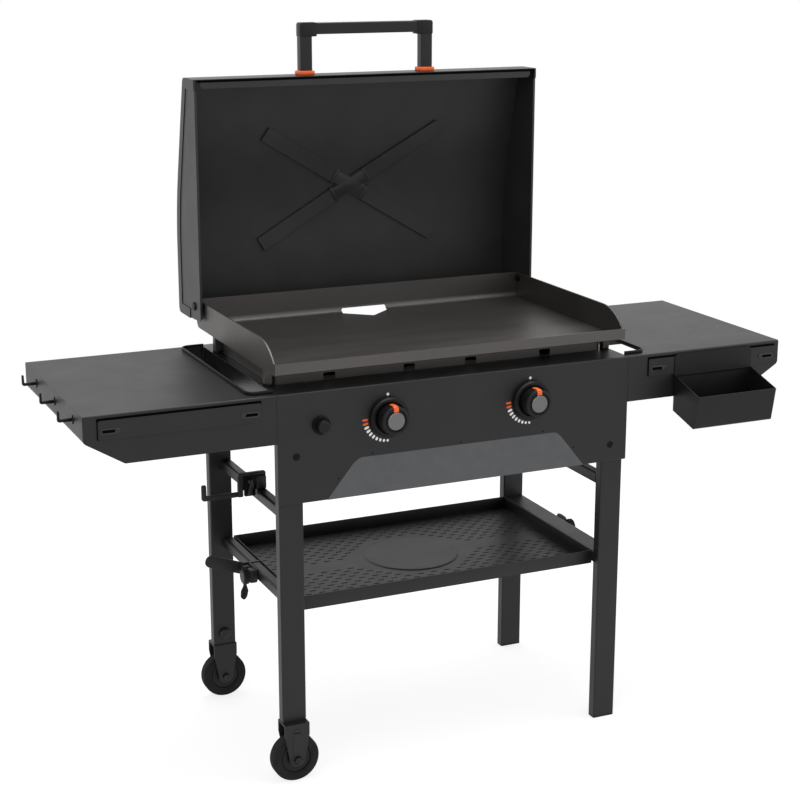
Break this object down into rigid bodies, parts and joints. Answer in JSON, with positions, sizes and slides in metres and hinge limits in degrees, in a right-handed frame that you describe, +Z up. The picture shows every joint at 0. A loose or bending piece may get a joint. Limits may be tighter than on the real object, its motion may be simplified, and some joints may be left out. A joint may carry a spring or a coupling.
{
  "type": "outdoor gas griddle station",
  "caption": "Flat-top gas griddle on a cart with casters, side shelves, a lower tray and a rear-hinged hood standing open",
  "frame": {"origin": "on the ground under the middle of the bounding box", "axes": "+X to the right seen from the front, +Y to the back, +Z up"},
  "size_m": [1.453, 0.638, 1.377],
  "materials": {
    "black_powder_coat": "fine-textured satin powder coat",
    "black_hood_coat": "satin powder coat",
    "handle_black": "satin",
    "black_plastic": "matte",
    "orange_plastic": "satin",
    "tread_rubber": "matte",
    "dark_hardware": "black oxide",
    "cap_metal": "silver grey",
    "bright_steel": "plain",
    "valve_brass": "plain",
    "griddle_steel": "dark, lightly oiled",
    "cup_aluminium": "satin"
  },
  "bodies": {
    "cart": {"bottom_shelf": "black_powder_coat", "burner_box": "black_powder_coat", "burners": "bright_steel", "caster_axles": "dark_hardware", "caster_forks": "black_powder_coat", "control_panel": "black_powder_coat", "cup_bracket": "black_powder_coat", "fork_bolts": "dark_hardware", "front_left_leg": "black_powder_coat", "front_right_leg": "black_powder_coat", "gas_inlet": "valve_brass", "gas_manifold": "bright_steel", "gas_valves": "valve_brass", "igniter_module": "black_plastic", "knob_bezels": "black_plastic", "left_shelf": "black_powder_coat", "leg_end_caps": "black_plastic", "lower_left_rail": "black_powder_coat", "lower_right_rail": "black_powder_coat", "panel_screws": "dark_hardware", "rear_left_leg": "black_powder_coat", "rear_right_leg": "black_powder_coat", "right_shelf": "black_powder_coat", "tank_brace": "black_powder_coat", "tank_hanger": "black_powder_coat", "tool_hooks": "black_powder_coat", "tool_strips": "black_powder_coat", "upper_left_rail": "black_powder_coat", "upper_right_rail": "black_powder_coat", "well_trims": "black_plastic"},
    "front_wheel": {"front_wheel_hub": "black_plastic", "front_wheel_tyre": "tread_rubber"},
    "rear_wheel": {"rear_wheel_hub": "black_plastic", "rear_wheel_tyre": "tread_rubber"},
    "plate": {"griddle_plate": "griddle_steel", "wind_guard": "griddle_steel", "plate_feet": "griddle_steel", "plate_adjusters": "dark_hardware", "hood_pivot_screws": "dark_hardware"},
    "hood": {"hood_shell": "black_hood_coat", "hood_left_end": "black_hood_coat", "hood_right_end": "black_hood_coat", "hood_stiffener": "black_hood_coat", "handle_bar": "handle_black", "handle_elbows": "black_plastic", "handle_posts": "handle_black", "handle_grommets": "orange_plastic"},
    "left_valve_core": {"left_valve_plug": "valve_brass"},
    "left_knob": {"left_knob": "black_plastic", "left_knob_cap": "cap_metal", "left_valve_stem": "bright_steel"},
    "right_valve_core": {"right_valve_plug": "valve_brass"},
    "right_knob": {"right_knob": "black_plastic", "right_knob_cap": "cap_metal", "right_valve_stem": "bright_steel"},
    "igniter_button": {"igniter_button": "black_plastic"},
    "left_wing_screw": {"left_wing_knob": "black_plastic"},
    "right_wing_screw": {"right_wing_knob": "black_plastic"},
    "tool_caddy": {"tool_caddy": "black_powder_coat"},
    "grease_cup": {"grease_cup": "cup_aluminium"}
  },
  "joints": [
    {"name": "front_wheel_roll", "type": "hinge", "parent": "cart", "child": "front_wheel", "pos_m": [-0.3222, -0.20982, 0.046], "axis": [0, 1, 0], "continuous": true},
    {"name": "rear_wheel_roll", "type": "hinge", "parent": "cart", "child": "rear_wheel", "pos_m": [-0.3222, 0.19558, 0.046], "axis": [0, 1, 0], "continuous": true},
    {"name": "plate_lift", "type": "slide", "parent": "cart", "child": "plate", "axis": [0, 0, 1], "range_m": [0, 0.12]},
    {"name": "hood_hinge", "type": "hinge", "parent": "plate", "child": "hood", "pos_m": [0.0135, 0.21903, 0.83], "axis": [1, 0, 0], "range_deg": [0, 88.25]},
    {"name": "left_knob_turn", "type": "hinge", "parent": "cart", "child": "left_valve_core", "pos_m": [-0.1336, -0.22697, 0.6915], "axis": [0, -1, 0], "range_deg": [0, 180]},
    {"name": "left_knob_push", "type": "slide", "parent": "left_valve_core", "child": "left_knob", "axis": [0, 1, 0], "range_m": [0, 0.003], "stiffness_N_per_m": 800, "springref_m": -0.002},
    {"name": "right_knob_turn", "type": "hinge", "parent": "cart", "child": "right_valve_core", "pos_m": [0.1606, -0.22697, 0.6915], "axis": [0, -1, 0], "range_deg": [0, 180]},
    {"name": "right_knob_push", "type": "slide", "parent": "right_valve_core", "child": "right_knob", "axis": [0, 1, 0], "range_m": [0, 0.003], "stiffness_N_per_m": 800, "springref_m": -0.002},
    {"name": "igniter_push", "type": "slide", "parent": "cart", "child": "igniter_button", "axis": [0, 1, 0], "range_m": [0, 0.004], "stiffness_N_per_m": 500, "springref_m": -0.002},
    {"name": "left_wing_turn", "type": "hinge", "parent": "cart", "child": "left_wing_screw", "pos_m": [-0.3202, -0.01197, 0.339], "axis": [-1, 0, 0], "range_deg": [0, 360]},
    {"name": "right_wing_turn", "type": "hinge", "parent": "cart", "child": "right_wing_screw", "pos_m": [0.3727, -0.01197, 0.339], "axis": [1, 0, 0], "range_deg": [0, 360]},
    {"name": "caddy_lift", "type": "slide", "parent": "cart", "child": "tool_caddy", "axis": [0, 0, 1], "range_m": [0, 0.05]},
    {"name": "cup_pull", "type": "slide", "parent": "cart", "child": "grease_cup", "axis": [0, 1, 0], "range_m": [0, 0.08]}
  ]
}
